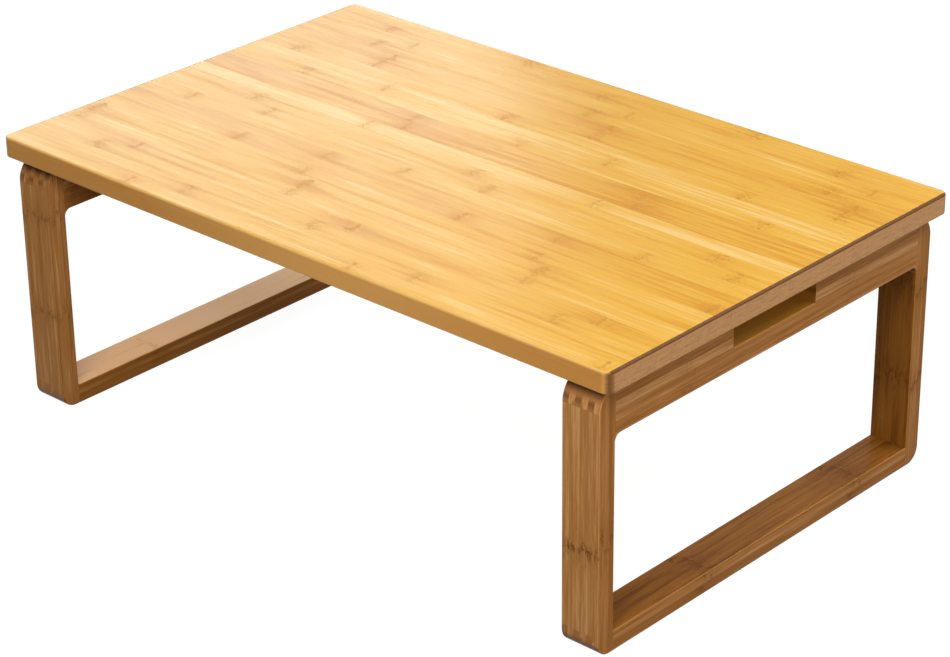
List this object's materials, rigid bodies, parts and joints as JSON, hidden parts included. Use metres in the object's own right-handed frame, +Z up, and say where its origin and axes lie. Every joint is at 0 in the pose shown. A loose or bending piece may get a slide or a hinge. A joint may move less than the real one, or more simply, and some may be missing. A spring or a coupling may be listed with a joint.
{
  "type": "folding low table",
  "caption": "Low rectangular bamboo table on closed loop legs that fold flat under the top, with a hand slot in each loop's top rail.",
  "frame": {"origin": "on the floor, under the middle of the top", "axes": "+X along the top, towards the end whose outer side the picture shows; -Y towards the long side that the picture shows; +Z up"},
  "size_m": [0.7, 0.446, 0.26],
  "materials": {
    "bamboo_top": "clear satin lacquer on pale carbonised bamboo strips",
    "bamboo_legs": "satin lacquer on brown carbonised bamboo",
    "hinge_steel": "zinc plated",
    "pin_steel": "bright drawn wire",
    "screw_steel": "zinc plated",
    "catch_steel": "zinc plated",
    "magnet_nickel": "nickel plated",
    "pad_rubber": "matte"
  },
  "bodies": {
    "top_panel": {"tabletop": "bamboo_top", "hinge_top_leaf_right_front": "hinge_steel", "hinge_top_screws_right_front": "screw_steel", "hinge_pin_right_front": "pin_steel", "strike_plate_right_front": "catch_steel", "hinge_top_leaf_right_rear": "hinge_steel", "hinge_top_screws_right_rear": "screw_steel", "hinge_pin_right_rear": "pin_steel", "strike_plate_right_rear": "catch_steel", "strike_screws_right": "screw_steel", "hinge_top_leaf_left_front": "hinge_steel", "hinge_top_screws_left_front": "screw_steel", "hinge_pin_left_front": "pin_steel", "strike_plate_left_front": "catch_steel", "hinge_top_leaf_left_rear": "hinge_steel", "hinge_top_screws_left_rear": "screw_steel", "hinge_pin_left_rear": "pin_steel", "strike_plate_left_rear": "catch_steel", "strike_screws_left": "screw_steel"},
    "right_loop": {"front_post_right": "bamboo_legs", "rear_post_right": "bamboo_legs", "top_rail_right": "bamboo_legs", "bottom_rail_right": "bamboo_legs", "hinge_leg_leaf_right_front": "hinge_steel", "hinge_leg_screws_right_front": "screw_steel", "catch_cup_right_front": "catch_steel", "catch_magnet_right_front": "magnet_nickel", "foot_pad_right_front": "pad_rubber", "hinge_leg_leaf_right_rear": "hinge_steel", "hinge_leg_screws_right_rear": "screw_steel", "catch_cup_right_rear": "catch_steel", "catch_magnet_right_rear": "magnet_nickel", "foot_pad_right_rear": "pad_rubber"},
    "left_loop": {"front_post_left": "bamboo_legs", "rear_post_left": "bamboo_legs", "top_rail_left": "bamboo_legs", "bottom_rail_left": "bamboo_legs", "hinge_leg_leaf_left_front": "hinge_steel", "hinge_leg_screws_left_front": "screw_steel", "catch_cup_left_front": "catch_steel", "catch_magnet_left_front": "magnet_nickel", "foot_pad_left_front": "pad_rubber", "hinge_leg_leaf_left_rear": "hinge_steel", "hinge_leg_screws_left_rear": "screw_steel", "catch_cup_left_rear": "catch_steel", "catch_magnet_left_rear": "magnet_nickel", "foot_pad_left_rear": "pad_rubber"}
  },
  "joints": [
    {"name": "right_loop_fold", "type": "hinge", "parent": "top_panel", "child": "right_loop", "pos_m": [0.29615, 0, 0.23765], "axis": [0, 1, 0], "range_deg": [0, 90]},
    {"name": "left_loop_fold", "type": "hinge", "parent": "top_panel", "child": "left_loop", "pos_m": [-0.29615, 0, 0.23765], "axis": [0, -1, 0], "range_deg": [0, 90]}
  ]
}
